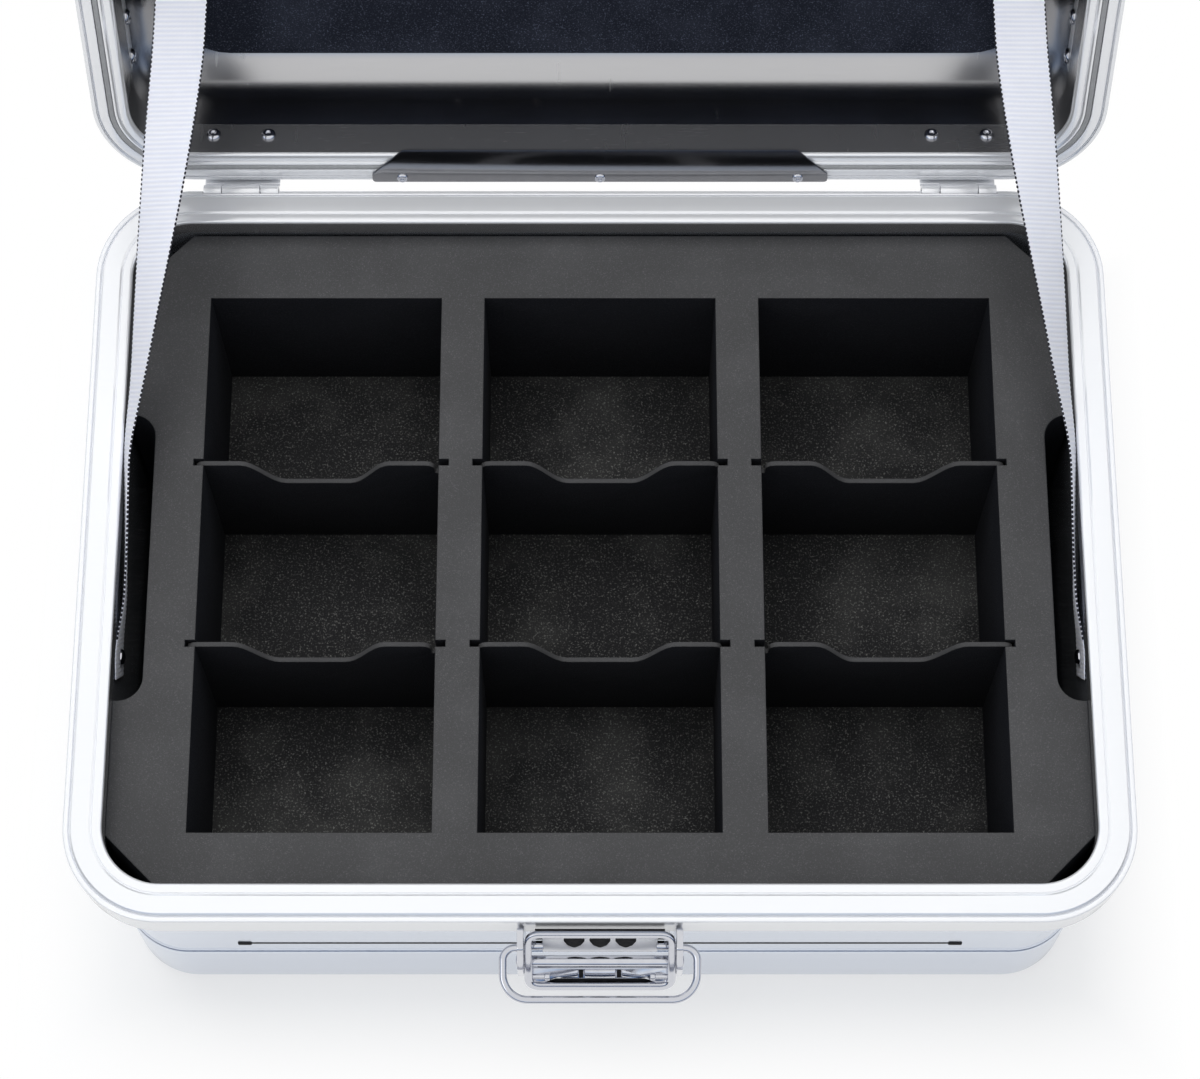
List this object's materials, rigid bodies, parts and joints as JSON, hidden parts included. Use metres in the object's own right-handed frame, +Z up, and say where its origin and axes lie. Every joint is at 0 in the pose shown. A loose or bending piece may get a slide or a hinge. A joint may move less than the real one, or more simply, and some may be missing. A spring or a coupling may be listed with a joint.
{
  "type": "hard case",
  "caption": "Open rigid aluminium case with a compartment foam insert, hinged lid held by webbing stays, and a front latch with a wire bail.",
  "frame": {"origin": "centre of the base's flat underside", "axes": "+Z up, -Y towards the latch at the front, +X to the right of someone who faces the latch"},
  "size_m": [0.6, 0.7127, 0.6299],
  "materials": {
    "shell_aluminium": "satin",
    "rim_aluminium": "satin",
    "polished_steel": "polished",
    "insert_foam": "closed-cell foam",
    "divider_foam": "closed-cell foam",
    "floor_foam": "closed-cell foam",
    "lid_foam": "closed-cell foam",
    "webbing": "woven",
    "seal_rubber": "matte"
  },
  "bodies": {
    "base": {"base_hinge_rivet_left_1": "polished_steel", "base_hinge_rivet_left_2": "polished_steel", "base_hinge_rivet_right_1": "polished_steel", "base_hinge_rivet_right_2": "polished_steel", "base_rim": "rim_aluminium", "base_shell": "shell_aluminium", "divider_1_1": "divider_foam", "divider_1_2": "divider_foam", "divider_2_1": "divider_foam", "divider_2_2": "divider_foam", "divider_3_1": "divider_foam", "divider_3_2": "divider_foam", "floor_pad": "floor_foam", "foam_insert": "insert_foam", "hinge_leaf_base_left": "rim_aluminium", "hinge_leaf_base_right": "rim_aluminium", "hinge_pin_left": "polished_steel", "hinge_pin_right": "polished_steel", "latch_bracket": "polished_steel", "latch_pivot_bar": "polished_steel", "latch_rivet_left_1": "polished_steel", "latch_rivet_left_2": "polished_steel", "latch_rivet_right_1": "polished_steel", "latch_rivet_right_2": "polished_steel", "lid_stay_left": "webbing", "lid_stay_right": "webbing", "lower_foam": "floor_foam", "stay_screw_left": "polished_steel", "stay_screw_right": "polished_steel"},
    "lid": {"bracket_rivet_left_1": "polished_steel", "bracket_rivet_left_2": "polished_steel", "bracket_rivet_right_1": "polished_steel", "bracket_rivet_right_2": "polished_steel", "catch_rivet_1": "polished_steel", "catch_rivet_2": "polished_steel", "guard_screw_1": "polished_steel", "guard_screw_2": "polished_steel", "guard_screw_3": "polished_steel", "hinge_guard_plate": "polished_steel", "hinge_leaf_lid_left": "rim_aluminium", "hinge_leaf_lid_right": "rim_aluminium", "latch_catch": "polished_steel", "lid_foam": "lid_foam", "lid_hinge_rivet_left_1": "polished_steel", "lid_hinge_rivet_left_2": "polished_steel", "lid_hinge_rivet_right_1": "polished_steel", "lid_hinge_rivet_right_2": "polished_steel", "lid_rim": "rim_aluminium", "lid_seal": "seal_rubber", "lid_shell": "shell_aluminium", "stay_bracket_left": "rim_aluminium", "stay_bracket_right": "rim_aluminium", "stay_top_rivet_left": "polished_steel", "stay_top_rivet_right": "polished_steel"},
    "lever": {"latch_lever": "polished_steel"},
    "bail": {"latch_bail": "polished_steel"}
  },
  "joints": [
    {"name": "lid_hinge", "type": "hinge", "parent": "base", "child": "lid", "pos_m": [0, 0.226, 0.201], "axis": [1, 0, 0], "range_deg": [0, 110], "deforming": ["lid_stay_left", "lid_stay_right"]},
    {"name": "lever_pivot", "type": "hinge", "parent": "base", "child": "lever", "pos_m": [0, -0.24, 0.175], "axis": [1, 0, 0], "range_deg": [0, 35]},
    {"name": "bail_pivot", "type": "hinge", "parent": "base", "child": "bail", "pos_m": [0, -0.235, 0.185], "axis": [1, 0, 0], "range_deg": [-115, 0]}
  ]
}
